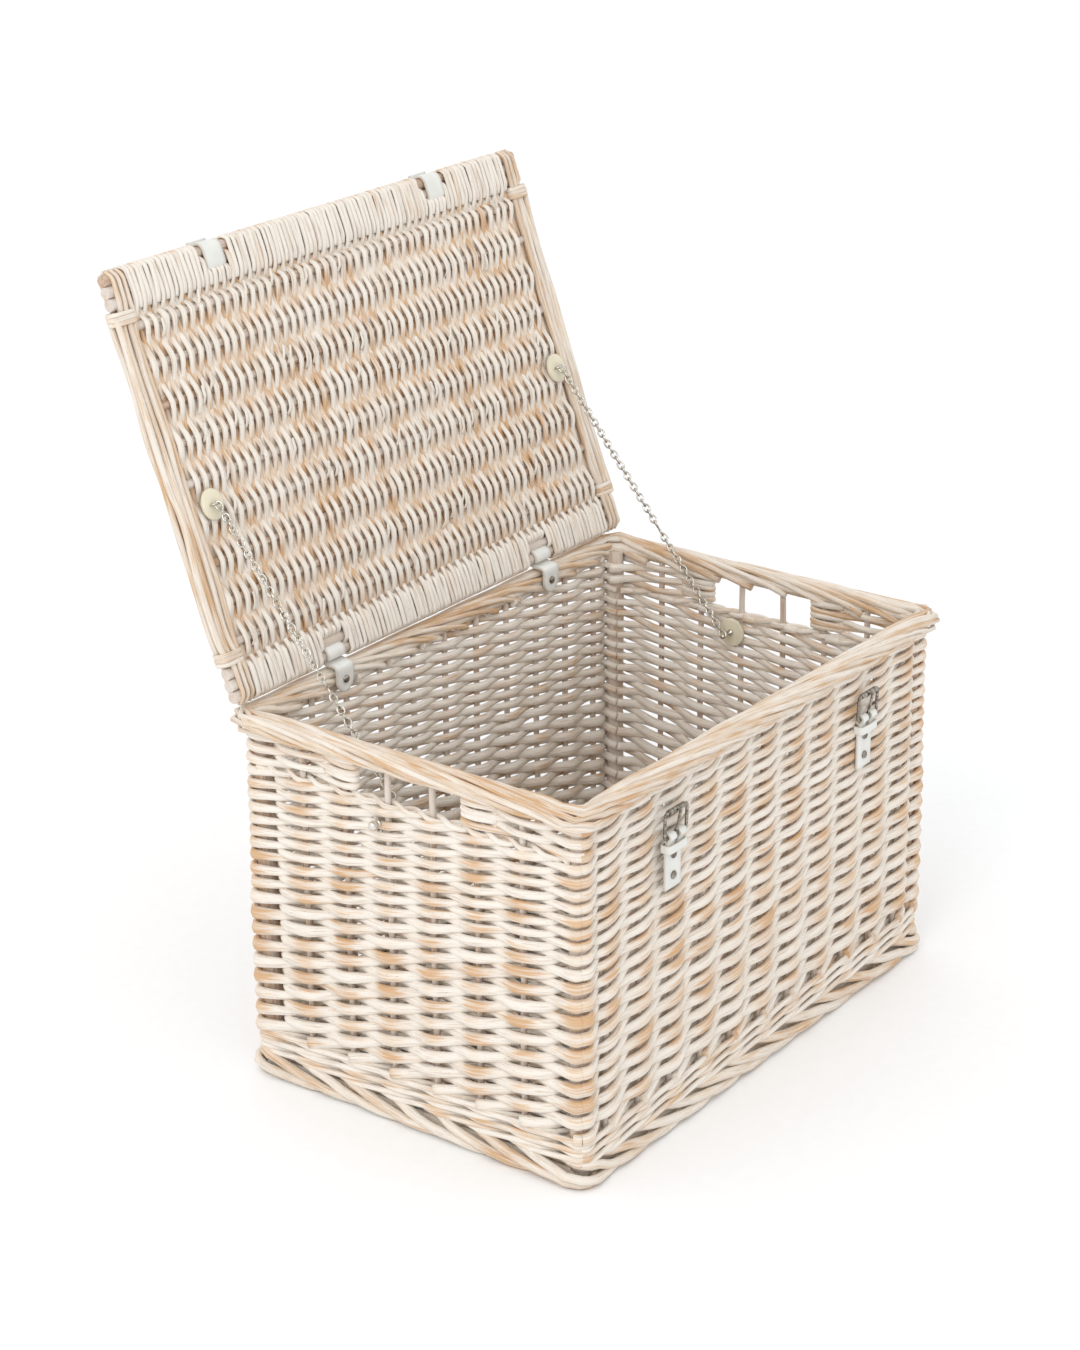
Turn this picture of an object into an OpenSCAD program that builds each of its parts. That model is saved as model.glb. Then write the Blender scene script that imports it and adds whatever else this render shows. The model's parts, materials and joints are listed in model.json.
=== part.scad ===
// Wicker storage trunk with a hinged lid, shown with the lid standing open.
// Origin: middle of the underside. +X to the right along the long front, +Y to the hinge side, +Z up.

/* [Trunk] */
// Outer length of the rim
trunk_l = 600; // [500:10:720]
// Outer width of the rim, front to back
trunk_w = 400; // [350:10:460]
// Height of the basket, floor to the top of the rim
trunk_h = 370; // [310:10:450]
// Radius of the basket's upright corners
corner_r = 16; // [10:1:22]

/* [Woven walls] */
// Thickness of the woven wall
wall_t = 17; // [15:1:20]
// Height of the border under the basket, which is the foot
foot_h = 22; // [18:1:28]
// How far the foot stands out past the wall
foot_over = 2; // [0:1:5]
// Height of the wale that locks the stakes above the foot
wale_h = 28; // [20:1:36]
// How far the rim stands out past the wall
rim_over = 8; // [5:1:10]
// Height of the rim border
rim_h = 22; // [18:1:28]
// Thickness of the woven base
base_t = 14; // [12:1:20]

/* [Stakes] */
// Diameter of the upright stakes
stake_d = 6; // [5:0.5:7]
// Number of stakes in the front wall
stakes_front = 11; // [7:2:13]
// Number of stakes in each end wall
stakes_end = 6; // [4:2:8]
// Diameter of the four corner posts
post_d = 18; // [14:1:20]
// How far the corner posts' middles stand out past the wall's inner face
post_out = 1; // [0:0.5:2]
// Distance from a corner post to the first front stake, in stake pitches
post_step_front = 0.575; // [0.55:0.025:0.8]
// Distance from a corner post to the first end stake, in stake pitches
post_step_end = 1.1; // [0.8:0.05:1.1]
// Diameter of the sticks inside the base
base_stick_d = 8; // [6:0.5:9]
// Number of sticks inside the base
base_stick_n = 7; // [5:1:9]

/* [Hand holes] */
// Width of each hand hole
hole_w = 114; // [100:2:130]
// Height of each hand hole
hole_h = 30; // [24:1:36]

/* [Lid] */
// Angle from closed to open
lid_open = 110; // [95:1:115]
// Thickness of the woven lid
lid_t = 19; // [17:1:22]
// Diameter of the long sticks along the lid's two long edges
edge_stick_d = 11; // [9:0.5:12]
// Number of edge sticks side by side
edge_stick_n = 3; // [2:1:3]
// Diameter of the sticks inside the lid's weave
lid_stick_d = 9; // [7:0.5:10]
// Number of sticks inside the lid's weave
lid_stick_n = 9; // [5:1:9]
// Width of the folded rod border at each end of the lid
lid_end_w = 25; // [20:1:28]
// Thickness of the folded rod border
lid_end_t = 16; // [12:1:17]
// Gap between the rim and the closed lid
lid_gap = 0.5; // [0.4:0.1:2]
// Distance from the rear of the rim in to the hinge line
hinge_in = 10; // [8:0.5:12]
// How far the closed lid reaches past the front of the rim
lid_over = 1.5; // [0:0.5:3]
// Distance from the lid's edge to the middle of each rod binding
bind_in = 41; // [34:1:50]
// Width of each rod binding
bind_w = 12; // [9:1:15]
// Thickness of the split rod in each binding
bind_t = 1.6; // [1.2:0.1:2]

/* [Leather] */
// Width of the leather straps
strap_w = 25; // [20:1:30]
// Thickness of the leather
strap_t = 2.5; // [2:0.1:3]
// Distance from the middle to each strap and hinge
strap_x = 161; // [140:1:180]
// Length of the hinge tab down the inside of the rim
hinge_tab = 24; // [20:1:30]
// Length of the closing straps that hang from the lid
tail_l = 130; // [110:5:150]
// Diameter of the holes in the closing straps
hole_d = 4; // [3:0.5:5]
// Number of holes in each closing strap
strap_holes = 4; // [3:1:5]
// Spacing of those holes
hole_pitch = 18; // [14:1:18]
// Length of the buckle strap below the buckle's bar
buckle_strap_l = 52; // [44:1:70]
// Diameter of the round leather washers under the stays
washer_d = 29; // [24:1:32]
// Thickness of those washers
washer_t = 3; // [2:0.5:4]

/* [Buckle] */
// Distance from the top of the rim down to the buckle's bar
buckle_drop = 70; // [66:1:78]
// Wire diameter of the buckle frame
wire_d = 3.2; // [2.6:0.2:3.8]
// Distance from the bar to the roller
buckle_l = 24; // [22:1:28]
// Lean of the buckle away from the wall
buckle_lean = 2; // [0:1:20]
// Outer diameter of the roller
roller_d = 5.4; // [5.2:0.1:6]
// Diameter of the prong
prong_d = 2.5; // [2:0.1:2.8]

/* [Stays] */
// Distance from the top of the rim down to the stay's bolt in the end wall
stay_drop = 72; // [70:1:85]
// Distance from the lid's hinge to the stay's washer on the lid
stay_reach = 170; // [155:1:180]
// Fore and aft distance between the stay's two washers when the lid is shut
stay_side = 10; // [9:1:14]
// Diameter of the chain
chain_d = 4; // [3:0.5:5]
// Diameter of the pins that the chain's end rings hang on
pin_d = 3; // [2.6:0.2:4]
// Diameter of the stay's bolt through the end wall
bolt_d = 5; // [4.5:0.5:5]
// Radius of the bolt's round head outside the wall
bolt_head_r = 6; // [5:0.5:7]
// Height of that head
bolt_head_h = 5; // [4:0.5:5]
// Distance from the lid's washer down to the hook's pin
hook_drop = 5; // [5:0.5:6]

/* [Clearances] */
// Radial clearance of a wire or stick that turns in leather
turn_gap = 0.05; // [0.02:0.01:0.1]
// Radial clearance of a stake in the weave
weave_gap = 0.15; // [0.1:0.05:0.3]
// Clearance between leather or fittings and what they pass
pass_gap = 0.4; // [0.3:0.1:0.6]
// Gap between sticks that lie side by side, and behind the buckle's fold of leather
stick_gap = 0.1; // [0.05:0.05:0.2]

/* [Hidden] */
$fn = 48;

// Wall: outer and inner faces, and the heights of its bands
wall_x = trunk_l / 2 - rim_over;
wall_y = trunk_w / 2 - rim_over;
in_x = wall_x - wall_t;
in_y = wall_y - wall_t;
rim_w = rim_over + wall_t;
rim_z = trunk_h - rim_h;
wall_z = foot_h + wale_h;
hole_z = rim_z - hole_h;

// Stakes: centre lines inside the wall, evenly spread between the corner posts
stake_x = wall_x - wall_t / 2;
stake_y = wall_y - wall_t / 2;
post_x = in_x + post_out;
post_y = in_y + post_out;
pitch_x = 2 * post_x / (stakes_front - 1 + 2 * post_step_front);
pitch_y = 2 * post_y / (stakes_end - 1 + 2 * post_step_end);
stake_xs = [for (i = [0 : stakes_front - 1]) (i - (stakes_front - 1) / 2) * pitch_x];
stake_ys = [for (i = [0 : stakes_end - 1]) (i - (stakes_end - 1) / 2) * pitch_y];
through_ys = [for (y = stake_ys) if (abs(y) < hole_w / 2 - stake_d) y];
weave_ys = [for (y = stake_ys) if (abs(y) > hole_w / 2 + stake_d) y];

// Lid, drawn shut: u is the distance from the hinge towards the front, w is the height above the hinge
edge_r = edge_stick_d / 2;
edge_pitch = edge_stick_d + stick_gap;
hinge_y = trunk_w / 2 - hinge_in;
hinge_z = trunk_h + lid_gap + lid_t / 2;
lid_u0 = -edge_r;
lid_u1 = hinge_y + trunk_w / 2 + lid_over;
front_u = lid_u1 - edge_r;
panel_u0 = (edge_stick_n - 1) * edge_pitch + edge_r + stick_gap;
panel_u1 = lid_u1 - panel_u0 - edge_r;
panel_x = trunk_l / 2 - lid_end_w;
lid_stick_pitch = (panel_u1 - panel_u0) / lid_stick_n;
bind_us = [lid_u0 + bind_in, lid_u1 - bind_in];

// Leather round the lid's edges
hinge_ring_r = edge_r + turn_gap + strap_t;
loop_u0 = lid_u1 - 2 * edge_pitch - pass_gap;
tail_u = lid_u1 + pass_gap + 1.5 * strap_t + stick_gap;
tail_w = edge_r + pass_gap + 1.5 * strap_t;

// Buckle: the bar turns in a fold of leather that rests on the wall
wire_r = wire_d / 2;
buckle_z = trunk_h - buckle_drop;
buckle_strap_z = buckle_z - buckle_strap_l;
fold_r = wire_r + turn_gap + strap_t;
bar_y = -wall_y - fold_r - stick_gap;
frame_w = strap_w + 2 * wire_d + 5 * pass_gap;
roller_r = roller_d / 2;
prong_r = prong_d / 2;
prong_lean = buckle_lean + asin((roller_r + prong_r + pass_gap) / buckle_l);
prong_hub = 4;
prong_hub_t = 1.6;
prong_past = 3;
rivet_h = 2.5;
rivet_r = 4;
rivet_in = 12;
rivet_pitch = 20;
keeper_h = 8;
rivet_zs = [buckle_strap_z + rivet_in, buckle_strap_z + rivet_in + rivet_pitch];
keeper_z = rivet_zs[1] + rivet_r + 1;
keeper_out = 11;
keeper_t = 1.8;

// Stays: the chain's two halves lie in line with the lid open, and hang side by side with it shut
stay_x = in_x - washer_d / 2 - 2 * pass_gap;
stay_y = hinge_y - stay_reach + stay_side;
stay_z = trunk_h - stay_drop;
hook_w = -lid_t / 2 - washer_t - hook_drop;
open_y = hinge_y + lid_y(stay_reach, hook_w);
open_z = hinge_z + lid_z(stay_reach, hook_w);
chain_len = norm([open_y - stay_y, open_z - stay_z]);
chain_tilt = atan2(open_z - stay_z, open_y - stay_y);
shut_drop = hinge_z + hook_w - stay_z;
chain_lower_len = (chain_len - shut_drop) / 2;
chain_upper_len = (chain_len + shut_drop) / 2;
pin_r = pin_d / 2;
eye_wall = 3;
eye_r = pin_r + eye_wall;
eye_t = 2.6;
hook_x = 5;
hook_t = 4;

// Where a point of the shut lid lies once the lid is open, seen from the hinge
function lid_y(u, w) = -u * cos(lid_open) + w * sin(lid_open);
function lid_z(u, w) = u * sin(lid_open) + w * cos(lid_open);

// ---- Shared shapes ----

// A block with rounded upright corners, centred on the origin in plan
module rounded_block(l, w, r, z0, h) {
    translate([0, 0, z0]) linear_extrude(h) {
        square([l, w - 2 * r], center = true);
        square([l - 2 * r, w], center = true);
        for (x = [-1, 1], y = [-1, 1]) translate([x * (l / 2 - r), y * (w / 2 - r)]) circle(r);
    }
}

// One side of a rounded rectangular band. The front and rear run right across, the ends fit between them.
module band_side(side, l, w, r, t, z0, h) {
    intersection() {
        rounded_block(l, w, r, z0, h);
        if (side == "front") translate([-l / 2, -w / 2, z0]) cube([l, t, h]);
        if (side == "rear") translate([-l / 2, w / 2 - t, z0]) cube([l, t, h]);
        if (side == "left") translate([-l / 2, t - w / 2, z0]) cube([t, w - 2 * t, h]);
        if (side == "right") translate([l / 2 - t, t - w / 2, z0]) cube([t, w - 2 * t, h]);
    }
}

// Corner posts, from the base to the underside of the rim
module post_shapes(grow) {
    for (x = [-1, 1], y = [-1, 1]) translate([x * post_x, y * post_y, base_t])
        cylinder(d = post_d + 2 * grow, h = rim_z - base_t);
}

// Stakes of the two long walls
module long_stake_shapes(grow) {
    for (x = stake_xs, y = [-1, 1]) translate([x, y * stake_y, foot_h])
        cylinder(d = stake_d + 2 * grow, h = rim_z - foot_h);
}

// Stakes of the two end walls at the given places
module end_stake_shapes(ys, grow) {
    for (x = [-1, 1], y = ys) translate([x * stake_x, y, foot_h])
        cylinder(d = stake_d + 2 * grow, h = rim_z - foot_h);
}

// Everything that stands in the weave
module stake_bores() {
    post_shapes(weave_gap);
    long_stake_shapes(weave_gap);
    end_stake_shapes(through_ys, weave_gap);
    end_stake_shapes(weave_ys, weave_gap);
}

// Stay bolts through the end walls
module bolt_bores() {
    for (x = [-1, 1]) translate([x * (wall_x + 1), stay_y, stay_z]) rotate([0, -x * 90, 0])
        cylinder(d = bolt_d + 2 * weave_gap, h = wall_t + 2);
}

// The lid's own frame: x along the hinge, -y towards the front, z up, as it lies when shut
module on_lid() {
    translate([0, hinge_y, hinge_z]) rotate([-lid_open, 0, 0]) children();
}

// A round stick along X
module stick_x(l, d) {
    rotate([0, 90, 0]) cylinder(d = d, h = l, center = true);
}

// Flattened dome head of a rivet, standing on the XY plane
module dome(r, h) {
    ball = (r * r + h * h) / (2 * h);
    intersection() {
        translate([0, 0, h - ball]) sphere(ball);
        cylinder(r = r, h = h);
    }
}

// ---- Base and foot ----

module base_panel() {
    color("tan") difference() {
        translate([0, 0, base_t / 2]) cube([2 * in_x, 2 * in_y, base_t], center = true);
        base_stick_shapes(weave_gap);
        post_shapes(weave_gap);
    }
}

module base_stick_shapes(grow) {
    step = 2 * in_y / base_stick_n;
    for (i = [0 : base_stick_n - 1]) translate([0, (i - (base_stick_n - 1) / 2) * step, base_t / 2])
        stick_x(2 * in_x, base_stick_d + 2 * grow);
}

module base_sticks() {
    color("burlywood") base_stick_shapes(0);
}

module foot(side) {
    l = 2 * (wall_x + foot_over);
    w = 2 * (wall_y + foot_over);
    color("wheat") difference() {
        band_side(side, l, w, corner_r + foot_over, foot_over + wall_t, 0, foot_h);
        post_shapes(weave_gap);
    }
}

module wale(side) {
    color("wheat") difference() {
        band_side(side, 2 * wall_x, 2 * wall_y, corner_r, wall_t, foot_h, wale_h);
        stake_bores();
    }
}

// ---- Walls and rim ----

module wall(side) {
    color("burlywood") difference() {
        band_side(side, 2 * wall_x, 2 * wall_y, corner_r, wall_t, wall_z, rim_z - wall_z);
        stake_bores();
        if (side == "left" || side == "right") {
            translate([-wall_x - 1, -hole_w / 2, hole_z]) cube([2 * wall_x + 2, hole_w, hole_h + 1]);
            bolt_bores();
        }
    }
}

module rim(side) {
    color("wheat") band_side(side, trunk_l, trunk_w, corner_r / 2, rim_w, rim_z, rim_h);
}

module corner_posts() {
    color("tan") post_shapes(0);
}

module side_stakes() {
    color("peru") {
        long_stake_shapes(0);
        end_stake_shapes(weave_ys, 0);
    }
}

// The stakes that cross the hand holes
module handle_stakes() {
    color("peru") end_stake_shapes(through_ys, 0);
}

// ---- Leather hinges ----

// A loop round the lid's rear stick, folded over the rim and down its inside
module hinge_strap(x) {
    color("white") translate([x, 0, 0]) difference() {
        union() {
            translate([0, hinge_y, hinge_z]) stick_x(strap_w, 2 * hinge_ring_r);
            translate([-strap_w / 2, in_y - strap_t, trunk_h])
                cube([strap_w, hinge_y - in_y + strap_t, hinge_z - hinge_ring_r - trunk_h + strap_t]);
            translate([-strap_w / 2, in_y - strap_t, trunk_h - hinge_tab]) cube([strap_w, strap_t, hinge_tab + 1]);
        }
        translate([0, hinge_y, hinge_z]) stick_x(strap_w + 2, edge_stick_d + 2 * turn_gap);
    }
}

module hinge_rivets() {
    color("silver") for (x = [-1, 1]) translate([x * strap_x, in_y - strap_t, trunk_h - hinge_tab / 2])
        rotate([90, 0, 0]) dome(rivet_r, rivet_h);
}

// ---- Buckles on the front wall ----

module buckle_strap(x) {
    color("white") translate([x, 0, 0]) difference() {
        union() {
            translate([-strap_w / 2, -wall_y - strap_t, buckle_strap_z])
                cube([strap_w, strap_t, buckle_z - buckle_strap_z]);
            translate([0, bar_y, buckle_z]) stick_x(strap_w, 2 * fold_r);
        }
        translate([0, bar_y, buckle_z]) stick_x(strap_w + 2, wire_d + 2 * turn_gap);
        translate([-prong_hub / 2 - 0.5, bar_y - fold_r - 1, buckle_z - fold_r - 1])
            cube([prong_hub + 1, fold_r + 1 + prong_r + pass_gap, 2 * fold_r + 2]);
        translate([0, bar_y, buckle_z]) stick_x(prong_hub + 1, 2 * (wire_r + turn_gap + prong_hub_t + pass_gap));
    }
}

// Loop that takes the end of the closing strap
module strap_keeper(x) {
    w = strap_w + 2 * pass_gap + 2 * keeper_t;
    color("ivory") translate([x, -wall_y, keeper_z]) difference() {
        translate([-w / 2, -keeper_out, 0]) cube([w, keeper_out, keeper_h]);
        translate([keeper_t - w / 2, keeper_t - keeper_out, -1])
            cube([w - 2 * keeper_t, keeper_out, keeper_h + 2]);
    }
}

module buckle_rivets() {
    color("silver") for (x = [-1, 1], z = rivet_zs) translate([x * strap_x, -wall_y - strap_t, z])
        rotate([90, 0, 0]) dome(rivet_r, rivet_h);
}

// The buckle's own frame: the bar along X, z towards the roller, leaning away from the wall
module on_buckle(x, lean) {
    translate([x, bar_y, buckle_z]) rotate([lean, 0, 0]) children();
}

module buckle_frame(x) {
    color("silver") on_buckle(x, buckle_lean) {
        for (z = [0, buckle_l]) translate([0, 0, z]) stick_x(frame_w, wire_d);
        for (s = [-1, 1]) translate([s * frame_w / 2, 0, 0]) {
            cylinder(d = wire_d, h = buckle_l);
            for (z = [0, buckle_l]) translate([0, 0, z]) sphere(d = wire_d);
        }
    }
}

module buckle_roller(x) {
    color("gainsboro") on_buckle(x, buckle_lean) translate([0, 0, buckle_l]) difference() {
        stick_x(strap_w, roller_d);
        stick_x(strap_w + 2, wire_d + 2 * turn_gap);
    }
}

module buckle_prong(x) {
    color("gainsboro") on_buckle(x, prong_lean) difference() {
        union() {
            stick_x(prong_hub, 2 * (wire_r + turn_gap + prong_hub_t));
            cylinder(d = prong_d, h = buckle_l + prong_past);
            translate([0, 0, buckle_l + prong_past]) sphere(d = prong_d);
        }
        stick_x(prong_hub + 2, wire_d + 2 * turn_gap);
    }
}

// ---- Stays ----

// Leather washer against the inside of an end wall
module wall_washer(s) {
    color("khaki") translate([s * in_x, stay_y, stay_z]) rotate([0, -s * 90, 0]) difference() {
        cylinder(d = washer_d, h = washer_t);
        translate([0, 0, -1]) cylinder(d = bolt_d + 2 * weave_gap, h = washer_t + 2);
    }
}

// Bolt with a round head outside the wall and a pin inside that carries the chain
module stay_bolt(s) {
    inside = in_x - washer_t;
    color("silver") translate([0, stay_y, stay_z]) {
        translate([s * wall_x, 0, 0]) rotate([0, s * 90, 0]) dome(bolt_head_r, bolt_head_h);
        translate([s * wall_x, 0, 0]) rotate([0, -s * 90, 0]) cylinder(d = bolt_d, h = wall_t + washer_t);
        translate([s * inside, 0, 0]) rotate([0, -s * 90, 0]) cylinder(d = bolt_d + 2, h = 2);
        translate([s * inside, 0, 0]) rotate([0, -s * 90, 0]) cylinder(r = pin_r, h = inside - stay_x + 3);
    }
}

// A straight stretch of chain along z, with a ring round the pin at its start
module chain_half(len) {
    difference() {
        union() {
            stick_x(eye_t, 2 * eye_r);
            translate([0, 0, pin_r + 1]) cylinder(d = chain_d, h = len - pin_r - 1 - pass_gap);
        }
        stick_x(eye_t + 2, pin_d + 2 * turn_gap);
    }
}

module chain_lower(s) {
    color("silver") translate([s * stay_x, stay_y, stay_z]) rotate([chain_tilt - 90, 0, 0])
        chain_half(chain_lower_len);
}

module chain_upper(s) {
    color("silver") translate([s * stay_x, open_y, open_z]) rotate([chain_tilt + 90, 0, 0])
        chain_half(chain_upper_len);
}

// ---- Lid ----

// Outline of the closing strap's loop round the front edge sticks
module loop_outline(grow) {
    translate([-lid_u1 - pass_gap - grow, -edge_r - pass_gap - grow])
        square([lid_u1 - loop_u0 + pass_gap + 2 * grow, 2 * (edge_r + pass_gap + grow)]);
}

module loop_shape(x, grow) {
    translate([x + strap_w / 2, 0, 0]) rotate([90, 0, -90]) linear_extrude(strap_w) mirror([1, 0])
        difference() {
            loop_outline(strap_t);
            loop_outline(0);
        }
}

module lid_stick_shapes(grow) {
    for (i = [0 : lid_stick_n - 1]) translate([0, -panel_u0 - (i + 0.5) * lid_stick_pitch, 0])
        stick_x(2 * panel_x, lid_stick_d + 2 * grow);
}

module lid_panel() {
    color("burlywood") on_lid() difference() {
        translate([-panel_x, -panel_u1, -lid_t / 2]) cube([2 * panel_x, panel_u1 - panel_u0, lid_t]);
        lid_stick_shapes(weave_gap);
    }
}

module lid_sticks() {
    color("peru") on_lid() lid_stick_shapes(0);
}

// The closing straps' loops go round the two front sticks; the third is notched to clear them
module lid_front_sticks() {
    notch = strap_t + 2 * pass_gap + stick_gap / 2;
    color("tan") on_lid() difference() {
        for (i = [0 : edge_stick_n - 1]) translate([0, -front_u + i * edge_pitch, 0])
            stick_x(2 * panel_x, edge_stick_d);
        for (x = [-1, 1]) translate([x * strap_x, notch / 2 - lid_u1 + 2 * edge_pitch - stick_gap / 2, 0])
            cube([strap_w + 2 * pass_gap, notch, lid_t], center = true);
    }
}

// The rearmost stick turns in the hinge loops; the one beside it is notched to clear them
module lid_rear_sticks() {
    color("tan") on_lid() difference() {
        for (i = [0 : edge_stick_n - 1]) translate([0, -i * edge_pitch, 0]) stick_x(2 * panel_x, edge_stick_d);
        for (x = [-1, 1]) translate([x * strap_x, 0, 0]) difference() {
            stick_x(strap_w + 2 * pass_gap, 2 * (hinge_ring_r + pass_gap));
            stick_x(strap_w + 2, edge_stick_d);
        }
    }
}

module binding_shapes() {
    for (s = [-1, 1], u = bind_us) translate([s * (trunk_l / 2 - lid_end_w / 2), -u, 0]) difference() {
        cube([lid_end_w, bind_w, lid_end_t], center = true);
        cube([lid_end_w - 2 * bind_t, bind_w + 1, lid_end_t - 2 * bind_t], center = true);
    }
}

module lid_end(s) {
    color("wheat") on_lid() difference() {
        translate([s * (trunk_l / 2 - lid_end_w / 2), -(lid_u0 + lid_u1) / 2, 0])
            cube([lid_end_w, lid_u1 - lid_u0, lid_end_t], center = true);
        binding_shapes();
    }
}

module lid_bindings() {
    color("linen") on_lid() binding_shapes();
}

// Leather washer on the inside of the lid
module lid_washer(s) {
    color("khaki") on_lid() translate([s * stay_x, -stay_reach, -lid_t / 2 - washer_t])
        cylinder(d = washer_d, h = washer_t);
}

// Hook screwed through the lid's washer, with a pin that carries the chain
module stay_hook(s) {
    color("silver") on_lid() translate([s * stay_x, -stay_reach, hook_w]) {
        translate([s * hook_x, 0, hook_drop / 2]) cube([hook_t, 2 * eye_wall, hook_drop], center = true);
        translate([s * hook_x, 0, 0]) rotate([0, 90, 0]) cylinder(r = eye_wall, h = hook_t, center = true);
        translate([s * (hook_x + hook_t / 2), 0, 0]) rotate([0, -s * 90, 0]) cylinder(r = pin_r, h = 2 * hook_x);
    }
}

// ---- Closing straps ----

module lid_loop(x) {
    color("white") on_lid() loop_shape(x, 0);
}

module lid_loop_rivets() {
    color("silver") on_lid() for (x = [-1, 1])
        translate([x * strap_x, -lid_u1 + edge_pitch, edge_r + pass_gap + strap_t])
            cylinder(r = rivet_r, h = 1);
}

// The loose part of the closing strap, hanging straight down behind the open lid
module lid_strap(x) {
    root_y = hinge_y + lid_y(tail_u, tail_w);
    root_z = hinge_z + lid_z(tail_u, tail_w);
    color("white") translate([x, root_y, root_z]) difference() {
        union() {
            translate([-strap_w / 2, -strap_t / 2, -tail_l + strap_w / 2])
                cube([strap_w, strap_t, tail_l - strap_w / 2]);
            translate([0, strap_t / 2, -tail_l + strap_w / 2]) rotate([90, 0, 0])
                cylinder(d = strap_w, h = strap_t);
            stick_x(strap_w, strap_t);
        }
        for (i = [0 : strap_holes - 1]) translate([0, strap_t, -tail_l + strap_w + i * hole_pitch])
            rotate([90, 0, 0]) cylinder(d = hole_d, h = 2 * strap_t);
    }
}

base_panel();
base_sticks();
foot("front");  // foot_front
foot("rear");  // foot_rear
foot("left");  // foot_left
foot("right");  // foot_right
wale("front");  // wale_front
wale("rear");  // wale_rear
wale("left");  // wale_left
wale("right");  // wale_right
wall("front");  // wall_front
wall("rear");  // wall_rear
wall("left");  // wall_left
wall("right");  // wall_right
rim("front");  // rim_front
rim("rear");  // rim_rear
rim("left");  // rim_left
rim("right");  // rim_right
corner_posts();
side_stakes();
handle_stakes();
hinge_strap(-strap_x);  // hinge_strap_left
hinge_strap(strap_x);  // hinge_strap_right
hinge_rivets();
buckle_strap(-strap_x);  // buckle_strap_left
buckle_strap(strap_x);  // buckle_strap_right
strap_keeper(-strap_x);  // strap_keeper_left
strap_keeper(strap_x);  // strap_keeper_right
buckle_rivets();
buckle_frame(-strap_x);  // buckle_frame_left
buckle_frame(strap_x);  // buckle_frame_right
buckle_roller(-strap_x);  // buckle_roller_left
buckle_roller(strap_x);  // buckle_roller_right
buckle_prong(-strap_x);  // buckle_prong_left
buckle_prong(strap_x);  // buckle_prong_right
wall_washer(-1);  // wall_washer_left
wall_washer(1);  // wall_washer_right
stay_bolt(-1);  // stay_bolt_left
stay_bolt(1);  // stay_bolt_right
lid_panel();
lid_sticks();
lid_front_sticks();
lid_rear_sticks();
lid_end(-1);  // lid_end_left
lid_end(1);  // lid_end_right
lid_bindings();
lid_washer(-1);  // lid_washer_left
lid_washer(1);  // lid_washer_right
stay_hook(-1);  // stay_hook_left
stay_hook(1);  // stay_hook_right
lid_loop(-strap_x);  // lid_loop_left
lid_loop(strap_x);  // lid_loop_right
lid_loop_rivets();
lid_strap(-strap_x);  // lid_strap_left
lid_strap(strap_x);  // lid_strap_right
chain_lower(-1);  // chain_lower_left
chain_lower(1);  // chain_lower_right
chain_upper(-1);  // chain_upper_left
chain_upper(1);  // chain_upper_right
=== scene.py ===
import json
import math

import bpy
import numpy as np
from mathutils import Matrix, Vector


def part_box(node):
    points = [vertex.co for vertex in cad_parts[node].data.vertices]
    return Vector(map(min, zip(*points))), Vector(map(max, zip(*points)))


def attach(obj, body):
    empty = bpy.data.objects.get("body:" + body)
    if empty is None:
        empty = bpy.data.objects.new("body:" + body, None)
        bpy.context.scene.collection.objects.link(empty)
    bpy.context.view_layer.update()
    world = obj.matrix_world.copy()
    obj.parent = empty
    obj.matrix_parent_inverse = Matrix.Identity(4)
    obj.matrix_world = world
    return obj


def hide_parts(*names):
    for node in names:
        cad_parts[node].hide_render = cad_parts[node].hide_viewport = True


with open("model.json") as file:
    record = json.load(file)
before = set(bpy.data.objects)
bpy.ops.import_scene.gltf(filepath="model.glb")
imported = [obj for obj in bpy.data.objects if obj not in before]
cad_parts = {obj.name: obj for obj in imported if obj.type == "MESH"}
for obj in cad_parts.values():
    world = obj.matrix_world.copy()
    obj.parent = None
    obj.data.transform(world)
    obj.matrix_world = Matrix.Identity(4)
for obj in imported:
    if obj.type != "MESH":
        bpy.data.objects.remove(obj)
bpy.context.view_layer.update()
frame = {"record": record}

# ---- Base: long sticks with thin rods woven across them ----
# Seven straight willow sticks run the length of the basket, and thin split rods are woven
# over and under them from front to back. Everything in this trunk is such rods, so the tools
# that draw and finish a rod are made here.
chance = np.random.default_rng(11)


def mm(node):
    """The lowest and highest corner of a solid at rest, in millimetres."""
    low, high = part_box(node)
    return np.array(low) * 1000, np.array(high) * 1000


def smooth(points, steps):
    """A smooth run through the given points, with this many steps from each to the next."""
    p = np.asarray(points, float)
    p = np.vstack([2 * p[0] - p[1], p, 2 * p[-1] - p[-2]])
    a, b, c, d = (q[:, None] for q in (p[:-3], p[1:-2], p[2:-1], p[3:]))
    t = np.linspace(0, 1, steps, endpoint=False)[None, :, None]
    curve = b + 0.5 * ((c - a) * t + (2 * a - 5 * b + 4 * c - d) * t**2 + (3 * b - a - 3 * c + d) * t**3)
    return np.vstack([curve.reshape(-1, p.shape[1]), p[-2]])


def thread():
    """Where a rod's grain starts, and its shade."""
    return chance.uniform(0, 9000, 3), chance.uniform()


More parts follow.
